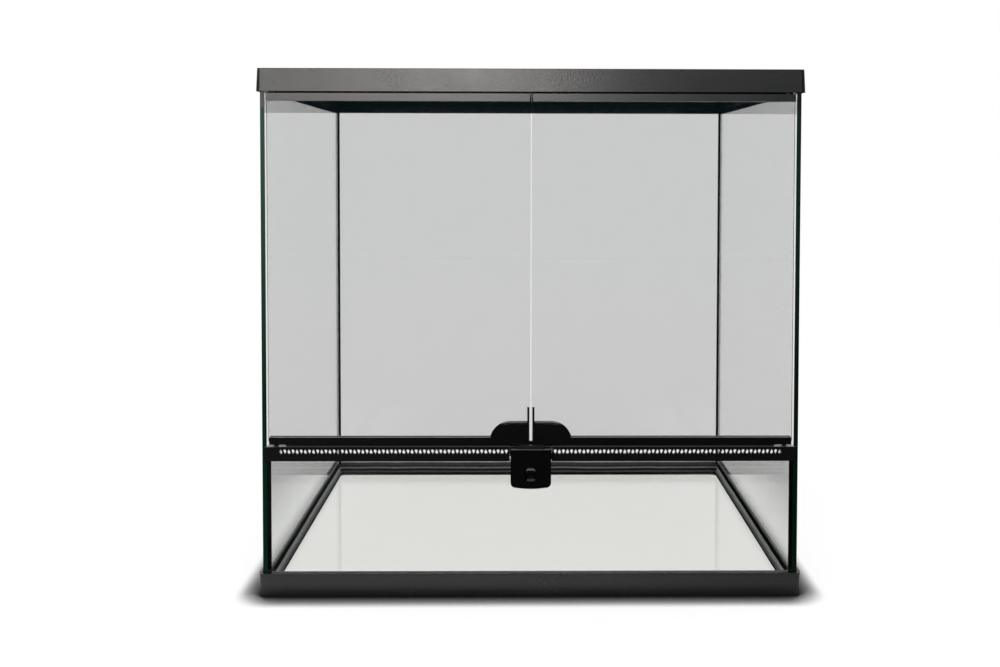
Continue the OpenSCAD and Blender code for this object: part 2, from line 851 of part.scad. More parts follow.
module lower_bush() {
    translate([hinge_x, hinge_y, strip_top - bush_l]) bush(false);
}

module upper_left_bush() {
    on_side(-1) upper_bush();
}

module upper_right_bush() {
    on_side(1) upper_bush();
}

module lower_left_bush() {
    on_side(-1) lower_bush();
}

module lower_right_bush() {
    on_side(1) lower_bush();
}

// ---- Doors ----

module door_glass() {
    low = rail_low + rail_web + grip_gap;
    high = top_rail_top - rail_web - grip_gap;
    color(pane) translate([door_gap / 2, front_y, low])
        cube([door_out_x - door_gap / 2, front_glass_t, high - low]);
}

// Half of the pair of handles seen from the front, drawn in by inset
module handle_outline(inset) {
    r = handle_r - inset;
    translate([rail_in_x, rail_low]) square([handle_flat - rail_in_x, handle_top - inset - rail_low]);
    intersection() {
        translate([handle_flat, handle_top - handle_r]) circle(r, $fn = 96);
        translate([handle_flat - bite, rail_low]) square([r + 2 * bite, handle_top - rail_low]);
    }
}

// The fin along the door's free edge, seen from the side
module fin_side() {
    tip = handle_top + fin_rise;
    slope = 9;
    nose = 2;
    polygon([
        [front_y - grip_gap, rail_low],
        [rail_y - fin_out, rail_low],
        [rail_y - fin_out, tip - slope],
        [rail_y, tip - nose],
        [front_y - grip_gap - 1, tip],
        [front_y - grip_gap, tip]
    ]);
}

module bottom_rail() {
    bevel_drop = 0.3;
    bevel_z = handle_top - handle_bevel - bevel_drop;
    color(black) difference() {
        union() {
            translate([rail_in_x, rail_y, rail_low])
                cube([rail_out_x - rail_in_x, rail_back_y - rail_y, rail_h]);
            plate_y(rail_y + handle_step_d, front_y - grip_gap) handle_outline(0);
            plate_y(front_in_y + grip_gap, rail_back_y) handle_outline(0);
            intersection() {
                plate_y(rail_y, front_y - grip_gap) handle_outline(handle_step);
                bar_x(0, handle_flat + handle_r) polygon([
                    [front_y, rail_low],
                    [rail_y, rail_low],
                    [rail_y, bevel_z],
                    [rail_y + handle_step_d, bevel_z + handle_bevel],
                    [front_y, bevel_z + handle_bevel]
                ]);
            }
            bar_x(rail_in_x - grip_gap, rail_in_x - grip_gap + fin_t) fin_side();
        }
        translate([0, front_y - grip_gap, rail_low + rail_web])
            cube([tank_w / 2, front_glass_t + 2 * grip_gap, rail_h + handle_h + fin_rise]);
        translate([hinge_x, hinge_y, rail_low - past])
            cylinder(r = pin_r + seat_clear, h = rail_web + past - grip_gap);
    }
}

module top_rail() {
    color(black) difference() {
        translate([rail_in_x, rail_y, top_rail_low])
            cube([door_out_x - rail_in_x, rail_back_y - rail_y, rail_h]);
        translate([0, front_y - grip_gap, top_rail_low - past])
            cube([tank_w / 2, front_glass_t + 2 * grip_gap, rail_h - rail_web + past]);
        translate([hinge_x, hinge_y, top_rail_top - rail_web + grip_gap])
            cylinder(r = pin_r + seat_clear, h = rail_web + past);
    }
}

module lower_pin() {
    tip = strip_top - bush_l + pin_end_gap;
    color(steel) translate([hinge_x, hinge_y, 0]) {
        translate([0, 0, tip]) cylinder(r = pin_r, h = rail_low + rail_web - seat_gap - tip);
        translate([0, 0, strip_top + collar_gap]) cylinder(r = collar_r, h = door_low_gap - collar_gap);
    }
}

module upper_pin() {
    foot = top_rail_top - rail_web + seat_gap;
    tip = upper_bush_low + bush_flange_t + bush_l - pin_end_gap;
    color(steel) translate([hinge_x, hinge_y, 0]) {
        translate([0, 0, foot]) cylinder(r = pin_r, h = tip - foot);
        translate([0, 0, top_rail_top])
            cylinder(r = collar_r, h = upper_bush_low - collar_gap - top_rail_top);
    }
}

module left_door_glass() {
    on_side(-1) door_glass();
}

module left_door_bottom_rail() {
    on_side(-1) bottom_rail();
}

module left_door_top_rail() {
    on_side(-1) top_rail();
}

module left_door_lower_pin() {
    on_side(-1) lower_pin();
}

module left_door_upper_pin() {
    on_side(-1) upper_pin();
}

module right_door_glass() {
    on_side(1) door_glass();
}

module right_door_bottom_rail() {
    on_side(1) bottom_rail();
}

module right_door_top_rail() {
    on_side(1) top_rail();
}

module right_door_lower_pin() {
    on_side(1) lower_pin();
}

module right_door_upper_pin() {
    on_side(1) upper_pin();
}

// ---- Lid ----

module lid_frame() {
    w = 2 * lid_x;
    d = lid_back_y - lid_y;
    color(black) translate([0, (lid_y + lid_back_y) / 2, lid_z]) difference() {
        linear_extrude(lid_h) round_rect(w, d, corner_r - 2);
        translate([0, 0, lid_flange_t]) linear_extrude(lid_h)
            square([w - 2 * lid_rim_w, d - 2 * lid_rim_w], center = true);
        translate([0, 0, -past]) linear_extrude(lid_h)
            square([w - 2 * lid_frame_w, d - 2 * lid_frame_w], center = true);
    }
}

module lid_mesh() {
    half_x = lid_x - clamp_in - wire_end_gap;
    y0 = lid_y + clamp_in + wire_end_gap;
    y1 = lid_back_y - clamp_in - wire_end_gap;
    mid_y = (y0 + y1) / 2;
    across = floor(half_x / wire_pitch);
    along = floor((y1 - y0) / 2 / wire_pitch);
    color(steel) {
        for (i = [-across : across])
            translate([i * wire_pitch, y0, warp_z]) rotate([-90, 0, 0]) cylinder(d = wire_d, h = y1 - y0);
        for (i = [-along : along])
            translate([-half_x, mid_y + i * wire_pitch, weft_z]) rotate([0, 90, 0])
                cylinder(d = wire_d, h = 2 * half_x);
    }
}

module lid_clamp() {
    w = 2 * (lid_x - clamp_in);
    d = lid_back_y - lid_y - 2 * clamp_in;
    color(black) translate([0, (lid_y + lid_back_y) / 2, clamp_low])
        linear_extrude(lid_z + lid_h - clamp_low) difference() {
            square([w, d], center = true);
            square([w - 2 * clamp_w, d - 2 * clamp_w], center = true);
        }
}

// ---- Lid catches ----

module lid_catch() {
    reach = catch_l - catch_half_w;
    color(black) translate([catch_x, catch_y, catch_z]) linear_extrude(catch_t) difference() {
        union() {
            circle(catch_half_w);
            translate([-reach, -catch_half_w]) square([reach, 2 * catch_half_w]);
            translate([-reach, 0]) circle(catch_half_w);
        }
        circle(catch_neck_r + seat_clear);
    }
}

// A headed pin through the catch and the step, spread below it, with a slot across its top
module catch_pivot() {
    foot = step_top - deck_t - free_gap;
    top = catch_z + catch_t;
    color(steel) translate([catch_x, catch_y, 0]) difference() {
        union() {
            translate([0, 0, foot - bite]) cylinder(r = catch_pin_r, h = catch_z - foot + bite);
            translate([0, 0, catch_z - bite]) cylinder(r = catch_neck_r, h = catch_t + bite);
            translate([0, 0, foot - catch_head]) cylinder(r = catch_pin_r + 1, h = catch_head);
        }
        translate([0, 0, top]) cube([2 * catch_pin_r, slot_w, 2 * slot_d], center = true);
    }
}

module left_lid_catch() {
    on_side(-1) lid_catch();
}

module right_lid_catch() {
    on_side(1) lid_catch();
}

module left_catch_pivot() {
    on_side(-1) catch_pivot();
}

module right_catch_pivot() {
    on_side(1) catch_pivot();
}

// ---- Cable shutters ----

module cable_shutter() {
    color(black) {
        translate([shutter_start, shutter_y, shutter_z])
            cube([shutter_l, shutter_back_y - shutter_y, shutter_t]);
        translate([shutter_start, inlet_y - inlet_w / 2 + tab_gap, shutter_z])
            cube([tab_l, inlet_w - 2 * tab_gap, tank_h - shutter_z - tab_drop]);
    }
}

module left_cable_shutter() {
    on_side(-1) cable_shutter();
}

module right_cable_shutter() {
    on_side(1) cable_shutter();
}

base_frame();
floor_glass();
left_side_glass();
right_side_glass();
back_glass();
front_window_glass();
floor_seam();
back_left_seam();
back_right_seam();
front_left_seam();
front_right_seam();
top_frame();
left_vent_strip();
right_vent_strip();
lock_housing();
lock_back_plate();
lock_screws();
upper_left_bush();
upper_right_bush();
lower_left_bush();
lower_right_bush();
left_door_glass();
left_door_bottom_rail();
left_door_top_rail();
left_door_lower_pin();
left_door_upper_pin();
right_door_glass();
right_door_bottom_rail();
right_door_top_rail();
right_door_lower_pin();
right_door_upper_pin();
lock_bolt();
lid_frame();
lid_mesh();
lid_clamp();
left_lid_catch();
left_catch_pivot();
right_lid_catch();
right_catch_pivot();
left_cable_shutter();
right_cable_shutter();
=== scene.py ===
import math

import bmesh
import bpy
from mathutils import Matrix, Vector


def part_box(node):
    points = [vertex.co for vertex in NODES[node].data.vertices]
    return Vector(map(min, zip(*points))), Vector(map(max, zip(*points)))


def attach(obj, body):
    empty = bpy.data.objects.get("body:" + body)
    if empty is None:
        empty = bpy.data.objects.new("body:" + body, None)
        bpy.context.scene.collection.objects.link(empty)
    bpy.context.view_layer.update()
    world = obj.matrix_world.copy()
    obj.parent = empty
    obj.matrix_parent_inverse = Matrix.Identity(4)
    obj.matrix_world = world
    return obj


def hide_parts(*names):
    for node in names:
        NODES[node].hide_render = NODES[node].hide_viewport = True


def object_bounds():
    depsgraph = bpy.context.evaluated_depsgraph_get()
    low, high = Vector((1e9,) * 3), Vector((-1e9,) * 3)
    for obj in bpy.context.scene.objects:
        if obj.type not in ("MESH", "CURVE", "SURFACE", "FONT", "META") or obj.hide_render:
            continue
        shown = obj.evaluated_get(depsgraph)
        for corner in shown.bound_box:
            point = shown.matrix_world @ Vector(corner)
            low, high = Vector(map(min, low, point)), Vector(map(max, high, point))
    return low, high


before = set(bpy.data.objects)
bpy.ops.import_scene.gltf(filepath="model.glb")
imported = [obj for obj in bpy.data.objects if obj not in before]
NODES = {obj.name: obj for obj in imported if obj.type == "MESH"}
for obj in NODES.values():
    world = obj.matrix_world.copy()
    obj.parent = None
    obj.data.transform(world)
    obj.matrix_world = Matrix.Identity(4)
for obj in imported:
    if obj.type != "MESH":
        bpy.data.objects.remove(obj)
cad_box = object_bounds()
MM = 0.001

# ---- Camera ----
# The photograph's size, focal length and principal point, in pixels
PHOTO_W = 1000.0
PHOTO_H = 667.0
FOCAL_PX = 1019.003
CENTRE_PX = (533.755, 202.649)
# Where the camera stood and how it was turned
CAM_AT = Vector((-8.27, -1342.3931, 476.0203)) * MM
CAM_YAW, CAM_PITCH, CAM_ROLL = (math.radians(a) for a in (0.56484, -1.93238, 0.11102))
SENSOR_W = 36.0


def make_camera():
    """The camera, as it was fitted to the photograph."""
    flat = math.cos(CAM_PITCH)
    fwd = Vector((math.sin(CAM_YAW) * flat, math.cos(CAM_YAW) * flat, math.sin(CAM_PITCH)))
    level = Vector((math.cos(CAM_YAW), -math.sin(CAM_YAW), 0))
    up = level.cross(fwd)
    right = math.cos(CAM_ROLL) * level + math.sin(CAM_ROLL) * up
    rolled_up = math.cos(CAM_ROLL) * up - math.sin(CAM_ROLL) * level
    data = bpy.data.cameras.new("camera")
    data.sensor_width = SENSOR_W
    data.lens = SENSOR_W * FOCAL_PX / PHOTO_W
    data.shift_x = (PHOTO_W / 2 - CENTRE_PX[0]) / PHOTO_W
    data.shift_y = (CENTRE_PX[1] - PHOTO_H / 2) / PHOTO_W
    cam = add_object("camera", data)
    placed = Matrix((right, rolled_up, -fwd)).transposed().to_4x4()
    placed.translation = CAM_AT
    cam.matrix_world = placed
    bpy.context.scene.camera = cam


def add_object(name, data):
    """A new object in the scene."""
    o = bpy.data.objects.new(name, data)
    bpy.context.scene.collection.objects.link(o)
    return o


# ---- Node helpers ----
def new_material(name):
    """A new material, its node tree, its Principled shader and its output."""
    mat = bpy.data.materials.new(name)
    mat.use_nodes = True
    nt = mat.node_tree
    return mat, nt, nt.nodes["Principled BSDF"], nt.nodes["Material Output"]


def node(nt, kind, **inputs):
    """A new node with the inputs given by name."""
    n = nt.nodes.new(kind)
    for key, value in inputs.items():
        n.inputs[key].default_value = value
    return n


def ramp_node(nt, value, low, high, start=0.0, end=1.0, kind="LINEAR"):
    """Map value from low..high to start..end."""
    ramp = node(nt, "ShaderNodeMapRange")
    ramp.interpolation_type = kind
    ramp.inputs["From Min"].default_value = low
    ramp.inputs["From Max"].default_value = high
    ramp.inputs["To Min"].default_value = start
    ramp.inputs["To Max"].default_value = end
    nt.links.new(value, ramp.inputs["Value"])
    return ramp.outputs["Result"]


def smooth(nt, value, low, high, start=0.0, end=1.0):
    """A soft step of value between low and high."""
    return ramp_node(nt, value, low, high, start, end, "SMOOTHSTEP")


def math_node(nt, operation, a, b=0):
    """The result of a Math node. Each operand is a number or a socket."""
    n = node(nt, "ShaderNodeMath")
    n.operation = operation
    for socket, value in zip(n.inputs, (a, b)):
        if isinstance(value, (int, float)):
            socket.default_value = value
        else:
            nt.links.new(value, socket)
    return n.outputs[0]


def invert(nt, value):
    """One less value."""
    return math_node(nt, "SUBTRACT", 1.0, value)


def mix_colour(nt, factor, a, b):
    """Colour a where factor is 0 and b where it is 1. Each is a tuple or a socket."""
    mix = node(nt, "ShaderNodeMix")
    mix.data_type = "RGBA"
    for key, value in (("A", a), ("B", b)):
        if isinstance(value, tuple):
            mix.inputs[key].default_value = (*value, 1)
        else:
            nt.links.new(value, mix.inputs[key])
    nt.links.new(factor, mix.inputs["Factor"])
    return mix.outputs["Result"]


def mix_shader(nt, factor, a, b):
    """Shader a where factor is 0 and b where it is 1."""
    mix = nt.nodes.new("ShaderNodeMixShader")
    nt.links.new(factor, mix.inputs["Fac"])
    nt.links.new(a, mix.inputs[1])
    nt.links.new(b, mix.inputs[2])
    return mix.outputs[0]


def split(nt, vector):
    """The X, Y and Z outputs of a vector."""
    parts = node(nt, "ShaderNodeSeparateXYZ")
    nt.links.new(vector, parts.inputs["Vector"])
    return parts.outputs


def noise(nt, coords, scale, detail=2.0, roughness=0.5):
    """The Fac output of a noise texture in the object's coordinates."""
    n = node(nt, "ShaderNodeTexNoise", Scale=scale, Detail=detail, Roughness=roughness)
    nt.links.new(coords.outputs["Object"], n.inputs["Vector"])
    return n.outputs["Fac"]


def bump_node(nt, height, strength, distance):
    """A bump node of a height."""
    bump = node(nt, "ShaderNodeBump", Strength=strength, Distance=distance)
    nt.links.new(height, bump.inputs["Height"])
    return bump


# ---- Materials ----
# Scale, detail and roughness of the plastics' noises: the slow change of gloss and tone, and the pebbled
# grain. The fine grain's scale is each material's own, and this is the usual one
SLOW_NOISE = (9.0, 5.0, 0.62)
PEBBLE_NOISE = (420.0, 2.0, 0.7)
FINE_DETAIL = (2.0, 0.6)
FINE_SCALE = 2600.0
FINE_DEPTH = 0.00004
# Share of the pebbled grain in the gloss, the range of both together, and how far the roughness strays
PEBBLE_SHARE = 0.35
GLOSS_RANGE = (0.45, 0.9)
GLOSS_SPREAD = 0.06
# Tone of the darkest and the lightest streaks, as a share of the colour
STREAKS = (0.8, 1.25)
DUST_SCALE = 75.0
DUST_RADIUS = (0.02, 0.035)
DUST_PATCHES = (0.52, 0.56)
DUST_COLOUR = (0.16, 0.16, 0.15)
# Z of the normals between which a face becomes an upper one, a sloped one, and one that looks down
TOP_FACING = (0.86, 0.97)
SLOPE_FACING = (0.08, 0.14)
DOWN_FACING = (-0.4, -0.8)
# Warmth of the painted top light on the highest upper faces
TOP_WARMTH = (1.0, 0.97, 0.94)
# Dull black of the faces in painted shade
SHADE_MATT_BLACK = (0.003, 0.003, 0.003)
# Black of a piece below its sunk height: painted shade
RECESS_SHADE_BLACK = (0.001, 0.001, 0.001)
# Half of the height over which one tone turns into another at a level
LEVEL_BLUR = 0.001


def dust_over(nt, tone, coords, slow, strength):
    """Scattered pale specks over a tone, in the patches where the slow noise is high."""
    specks = node(nt, "ShaderNodeTexVoronoi", Scale=DUST_SCALE, Randomness=1.0)
    nt.links.new(coords.outputs["Object"], specks.inputs["Vector"])
    spot = ramp_node(nt, specks.outputs["Distance"], *DUST_RADIUS, 1.0, 0.0)
    pick = ramp_node(nt, slow, *DUST_PATCHES, 0.0, strength)
    return mix_colour(nt, math_node(nt, "MULTIPLY", spot, pick), tone, DUST_COLOUR)


def paint_top_light(nt, tone, facing, height, top):
    """The tone, with upper faces painted paler: painted top light and painted reflection."""
    (low_z, low_tone), (high_z, high_tone) = top
    top_lit = mix_colour(nt, ramp_node(nt, height, low_z, high_z), (low_tone,) * 3,
                        tuple(high_tone * c for c in TOP_WARMTH))
    return mix_colour(nt, smooth(nt, facing, *TOP_FACING), tone, top_lit)


def painted_shade_share(nt, facing, chamfers):
    """1 on faces that look down and, with chamfers, on those that slope upward: the faces that get painted
    shade.
    """
    below = smooth(nt, facing, *DOWN_FACING)
    if not chamfers:
        return below
    sloped = smooth(nt, facing, *SLOPE_FACING)
    not_level = smooth(nt, facing, *reversed(TOP_FACING))
    return math_node(nt, "MAXIMUM", below, math_node(nt, "MULTIPLY", sloped, not_level))


def plastic(name, colour, rough, specular, grain=0.25, grain_scale=FINE_SCALE, dust=0.0, top=None,
            under=False, peel=0.0, sunk=None):
    """Satin moulded plastic: a fine grain over a pebbled one, with slow changes of gloss and tone.

    dust: strength of the scattered specks.
    top: (height, tone) low down and high up, for upper faces, which are painted paler: painted top light and
    painted reflection.
    under: faces that look down get a dull black, a painted shade. With top, they do too, and so do the
    chamfers.
    peel: depth of the pebbled bump.
    sunk: height below which the piece lies deep in its housing and is painted black, a painted shade.
    """
    mat, nt, bsdf, out = new_material(name)
    bsdf.inputs["Specular IOR Level"].default_value = specular
    coords = node(nt, "ShaderNodeTexCoord")
    height = split(nt, coords.outputs["Object"])["Z"]
    facing = split(nt, coords.outputs["Normal"])["Z"]
    fine = noise(nt, coords, grain_scale, *FINE_DETAIL)
    slow = noise(nt, coords, *SLOW_NOISE)
    pebble = noise(nt, coords, *PEBBLE_NOISE)
    both = math_node(nt, "ADD", slow, math_node(nt, "MULTIPLY", pebble, PEBBLE_SHARE))
    gloss = ramp_node(nt, both, *GLOSS_RANGE, rough - GLOSS_SPREAD, rough + GLOSS_SPREAD)
    nt.links.new(gloss, bsdf.inputs["Roughness"])
    tone = mix_colour(nt, slow, *(tuple(c * share for c in colour) for share in STREAKS))
    if dust:
        tone = dust_over(nt, tone, coords, slow, dust)
    # Upper faces painted paler: painted top light and painted reflection
    if top:
        tone = paint_top_light(nt, tone, facing, height, top)
    # Below the sunk height the tone is black: painted shade deep in the housing
    if sunk:
        tone = mix_colour(nt, ramp_node(nt, height, sunk - LEVEL_BLUR, sunk + LEVEL_BLUR), RECESS_SHADE_BLACK, tone)
    nt.links.new(tone, bsdf.inputs["Base Color"])
    bump = bump_node(nt, fine, grain, FINE_DEPTH)
    if peel:
        wavy = bump_node(nt, pebble, 1.0, peel)
        nt.links.new(wavy.outputs["Normal"], bump.inputs["Normal"])
    nt.links.new(bump.outputs["Normal"], bsdf.inputs["Normal"])
    # Faces that look down, and with top the chamfers, get a dull black: painted shade
    if under or top:
        shade_matt = node(nt, "ShaderNodeBsdfDiffuse", Color=(*SHADE_MATT_BLACK, 1))
        in_shade = painted_shade_share(nt, facing, chamfers=bool(top))
        surface = mix_shader(nt, in_shade, bsdf.outputs["BSDF"], shade_matt.outputs["BSDF"])
        nt.links.new(surface, out.inputs["Surface"])
    return mat


BRUSH_SCALE = 1800.0
# How far the roughness of metal strays down and up
BRUSH_SPREAD = (0.08, 0.1)


def metal(name, colour, rough):
    """Metal with a fine brushed change of gloss."""
    mat, nt, bsdf, out = new_material(name)
    bsdf.inputs["Metallic"].default_value = 1.0
    brush = noise(nt, node(nt, "ShaderNodeTexCoord"), BRUSH_SCALE)
    down, up = BRUSH_SPREAD
    nt.links.new(ramp_node(nt, brush, 0.0, 1.0, rough - down, rough + up), bsdf.inputs["Roughness"])
    bsdf.inputs["Base Color"].default_value = (*colour, 1)
    return mat


GLASS_TINT = (0.81, 0.812, 0.81)
WINDOW_TINT = (0.85, 0.855, 0.845)
FLOOR_TINT = (0.96, 0.965, 0.94)
# Tint of the soft light and the shadows that fall through a pane
PASSING_TINT = (0.93, 0.95, 0.94)
# Colours of the ground edges on the left and the right side: in the frame's shade, at the top, low down. The
# right side's are darker, a painted shade with the light from the left
EDGE_LEFT = ((0.058, 0.058, 0.06), (0.016, 0.04, 0.026), (0.0002, 0.013, 0.005))
EDGE_RIGHT = ((0.006, 0.0065, 0.006), (0.0025, 0.013, 0.0075), (0.0002, 0.006, 0.0016))
# Height where the frame's shade begins, and heights between which the edge turns from dark to light
EDGE_SHADE_Z = 0.542
EDGE_FALL_Z = (0.22, 0.46)
EDGE_FACING = 0.9
EDGE_ROUGH = 0.3
EDGE_SPECULAR = 0.12


def glass(name, edge_axes, tint=GLASS_TINT, edges=EDGE_LEFT, ior=1.5):
    """Clear float glass. Faces whose normal runs along one of edge_axes are ground edges, dark green."""
    mat, nt, bsdf, out = new_material(name)
    bsdf.inputs["Base Color"].default_value = (*tint, 1)
    bsdf.inputs["Transmission Weight"].default_value = 1.0
    bsdf.inputs["IOR"].default_value = ior
    bsdf.inputs["Roughness"].default_value = 0.0
    edge = node(nt, "ShaderNodeBsdfPrincipled", Roughness=EDGE_ROUGH)
    edge.inputs["Specular IOR Level"].default_value = EDGE_SPECULAR
    coords = node(nt, "ShaderNodeTexCoord")
    height = split(nt, coords.outputs["Object"])["Z"]
    shaded, upper, lower = edges
    green = mix_colour(nt, ramp_node(nt, height, *EDGE_FALL_Z), lower, upper)
    shade = ramp_node(nt, height, EDGE_SHADE_Z - LEVEL_BLUR, EDGE_SHADE_Z + LEVEL_BLUR)
    nt.links.new(mix_colour(nt, shade, green, shaded), edge.inputs["Base Color"])
    facing = split(nt, coords.outputs["Normal"])
    along = [math_node(nt, "GREATER_THAN", math_node(nt, "ABSOLUTE", facing[axis]), EDGE_FACING)
             for axis in edge_axes]
    body = mix_shader(nt, math_node(nt, "MAXIMUM", *along), bsdf.outputs["BSDF"], edge.outputs["BSDF"])
    # Lamps and bounced light pass straight through the panes
    path = nt.nodes.new("ShaderNodeLightPath")
    soft = math_node(nt, "MAXIMUM", path.outputs["Is Shadow Ray"], path.outputs["Is Diffuse Ray"])
    clear = node(nt, "ShaderNodeBsdfTransparent", Color=(*PASSING_TINT, 1))
    nt.links.new(mix_shader(nt, soft, body, clear.outputs[0]), out.inputs["Surface"])
    return mat


# ---- CAD nodes ----
# Edges sharper than this are softened, and points nearer than this are joined
SHARP = math.radians(50)
JOIN = 0.000005
# Width of the softened edges of each kind of piece
SOFT_EDGES = {
    "bottom_rail": 0.0004,
    "top_rail": 0.0004,
    "base_frame": 0.0004,
    "vent_strip": 0.0003,
    "lid_catch": 0.0004,
    "cable_shutter": 0.0003,
}
# Tones of the upper faces by height, on the rails and strips and on the lock: painted top light and painted
# reflection
RAIL_TOP = ((0.178, 0.12), (0.2105, 0.6))
LOCK_TOP = ((0.13, 0.085), (0.168, 0.18))
# Height below which the bolt is painted black, a painted shade in its housing
SUNK_BOLT_Z = 0.158
FRAME_COLOUR = (0.0066, 0.0062, 0.006)


def bevel(o, width, segments=3):
    """Round off the outer edges. The CAD faces come apart at their borders, so they are joined first."""
    o.modifiers.new("join", "WELD").merge_threshold = JOIN
    m = o.modifiers.new("edge", "BEVEL")
    m.width = width
    m.segments = segments
    m.limit_method = "ANGLE"
    m.angle_limit = SHARP


def set_materials(o, *materials):
    """Give o these materials and no others."""
    o.data.materials.clear()
    for material in materials:
        o.data.materials.append(material)


def dress_cad():
    """A material for each CAD node, and the pieces that stand for CAD nodes or add to them."""
    # Its faces that look down get painted shade
    frame_black = plastic("frame_black", FRAME_COLOUR, 0.24, 0.44, dust=0.6, under=True, peel=0.00012)
    top_rail_black = plastic("top_rail_black", FRAME_COLOUR, 0.3, 0.78, dust=0.4)
    # Their upper faces get painted top light and painted reflection, and their chamfers painted shade
    rail_black = plastic("rail_black", (0.0022, 0.0022, 0.0023), 0.14, 0.45, dust=0.3, top=RAIL_TOP)
    strip_black = plastic("strip_black", (0.0032, 0.0032, 0.0033), 0.16, 0.45, dust=0.3, top=RAIL_TOP)
    lock_black = plastic("lock_black", (0.0012, 0.0012, 0.0014), 0.16, 0.45, top=LOCK_TOP)
    bolt_grey = plastic("bolt_grey", (0.0095, 0.0095, 0.0098), 0.22, 0.4, sunk=SUNK_BOLT_Z)
    # Pale grey on the upper faces of the button's front: a painted highlight
    button_highlight = plastic("button_highlight", (0.24, 0.24, 0.24), 0.4, 0.3)
    rubber = plastic("silicone_black", (0.0025, 0.0025, 0.0027), 0.2, 0.12, grain=0.05, grain_scale=300.0)
    steel = metal("screw_steel", (0.45, 0.45, 0.46), 0.3)
    # The first row whose words are in a node's name gives the node's material
    finishes = (
        ("left_side_glass", glass("left_pane", "YZ")),
        ("right_side_glass", glass("right_pane", "YZ", edges=EDGE_RIGHT)),
        ("front_window_glass", glass("window_pane", "XZ", tint=WINDOW_TINT)),
        ("floor_glass", glass("floor_pane", "XY", tint=FLOOR_TINT, ior=1.2)),
        ("back_glass", glass("back_pane", "XZ", ior=1.35)),
        ("glass", glass("front_pane", "XZ")),
        ("seam", rubber),
        ("bush", plastic("bush_black", (0.003, 0.003, 0.003), 0.4, 0.2, grain=0.05)),
        ("lid_mesh", metal("mesh_steel", (0.4, 0.4, 0.41), 0.42)),
        ("pin", metal("pin_steel", (0.05, 0.05, 0.052), 0.4)),
        ("screw", steel),
        ("pivot", steel),
        ("lock_", lock_black),
        ("bottom_rail", rail_black),
        ("vent_strip", strip_black),
        ("top_rail", top_rail_black),
        ("", frame_black),
    )
    for name, o in NODES.items():
        for p in o.data.polygons:
            p.use_smooth = False
        for kind, width in SOFT_EDGES.items():
            if name.endswith(kind):
                bevel(o, width)
        set_materials(o, next(material for words, material in finishes if words in name))
    make_lock_cover(lock_black)
    make_lock_slide(bolt_grey, lock_black, button_highlight)
    make_slot_seals(rubber)
    make_floor_bead()


# ---- Mesh helpers ----
def end_mesh(bm, mesh):
    """Write bm to the mesh, with its faces turned outward."""
    bmesh.ops.recalc_face_normals(bm, faces=bm.faces)
    bm.to_mesh(mesh)
    bm.free()


def solid(name, outline, y0, y1):
    """A plate between two depths, from its outline of (x, z) points."""
    bm = bmesh.new()
    front = [bm.verts.new((x, y0, z)) for x, z in outline]
    back = [bm.verts.new((x, y1, z)) for x, z in outline]
    bm.faces.new(front)
    bm.faces.new(list(reversed(back)))
    for i in range(len(outline)):
        j = (i + 1) % len(outline)
        bm.faces.new((front[j], front[i], back[i], back[j]))
    mesh = bpy.data.meshes.new(name)
    end_mesh(bm, mesh)
    return add_object(name, mesh)


def rounded(x0, x1, z0, z1, low_r, top_r, steps=6):
    """Corner points of a rectangle with its lower and upper corners rounded."""
    points = []
    corners = ((x1, z1, top_r, 0), (x0, z1, top_r, 90), (x0, z0, low_r, 180), (x1, z0, low_r, 270))
    for cx, cz, r, start in corners:
        sx, sz = (1 if cx == x1 else -1), (1 if cz == z1 else -1)
        if not r:
            points.append((cx, cz))
            continue
        for k in range(steps + 1):
            a = math.radians(start + 90 * k / steps)
            points.append((cx - sx * r + r * math.cos(a), cz - sz * r + r * math.sin(a)))
    return points


def copy_node(name, source):
    """A piece with a joined copy of a CAD node's mesh."""
    mesh = NODES[source].data.copy()
    mesh.name = name
    bm = bmesh.new()
    bm.from_mesh(mesh)
    bmesh.ops.remove_doubles(bm, verts=bm.verts, dist=JOIN)
    end_mesh(bm, mesh)
    return add_object(name, mesh)


def apply_modifiers(o):
    """Put the shape that o's modifiers make into its mesh."""
    baked = bpy.data.meshes.new_from_object(o.evaluated_get(bpy.context.evaluated_depsgraph_get()))
    o.modifiers.clear()
    o.data = baked


# ---- Lock ----
LIP_TOP = 0.1675
LIP_HALF_W = 0.0222
LIP_DEPTH = 0.0022
LIP_R = 0.0012
# How far the lip reaches down into the housing
LIP_BITE = 0.0035
# Face of the bolt, with the button standing out of it, and its own heights
BOLT_FACE_Y = -0.2282
BUTTON_FOOT_Y = BOLT_FACE_Y + 0.0011
BUTTON_HALF_W = 0.0054
BUTTON_Z = (0.1368, 0.1438)
# Heights that the photograph shows it at, and how far its front's upper edge slopes down, for the painted
# highlight
BUTTON_AT = (0.14, 0.1449)
BUTTON_SLOPE = 0.0004
# The least that a point of the button's front, and the middle of one of its faces, stands out of the bolt
FRONT_OUT = 0.0005
FACE_OUT = 0.0002
# Slack in a point's place along the button's height, as a share of that height
HEIGHT_SLACK = 0.01


def make_lock_cover(black):
    """The lock housing with its raised front lip."""
    low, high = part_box("lock_housing")
    outline = rounded(-LIP_HALF_W, LIP_HALF_W, high[2] - LIP_BITE, LIP_TOP, 0, LIP_R)
    lip = solid("lip", outline, low[1], low[1] + LIP_DEPTH)
    cover = copy_node("lock_cover", "lock_housing")
    m = cover.modifiers.new("lip", "BOOLEAN")
    m.operation = "UNION"
    m.solver = "EXACT"
    m.object = lip
    apply_modifiers(cover)
    bpy.data.objects.remove(lip)
    set_materials(cover, black)
    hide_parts("lock_housing")
    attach(cover, "tank")


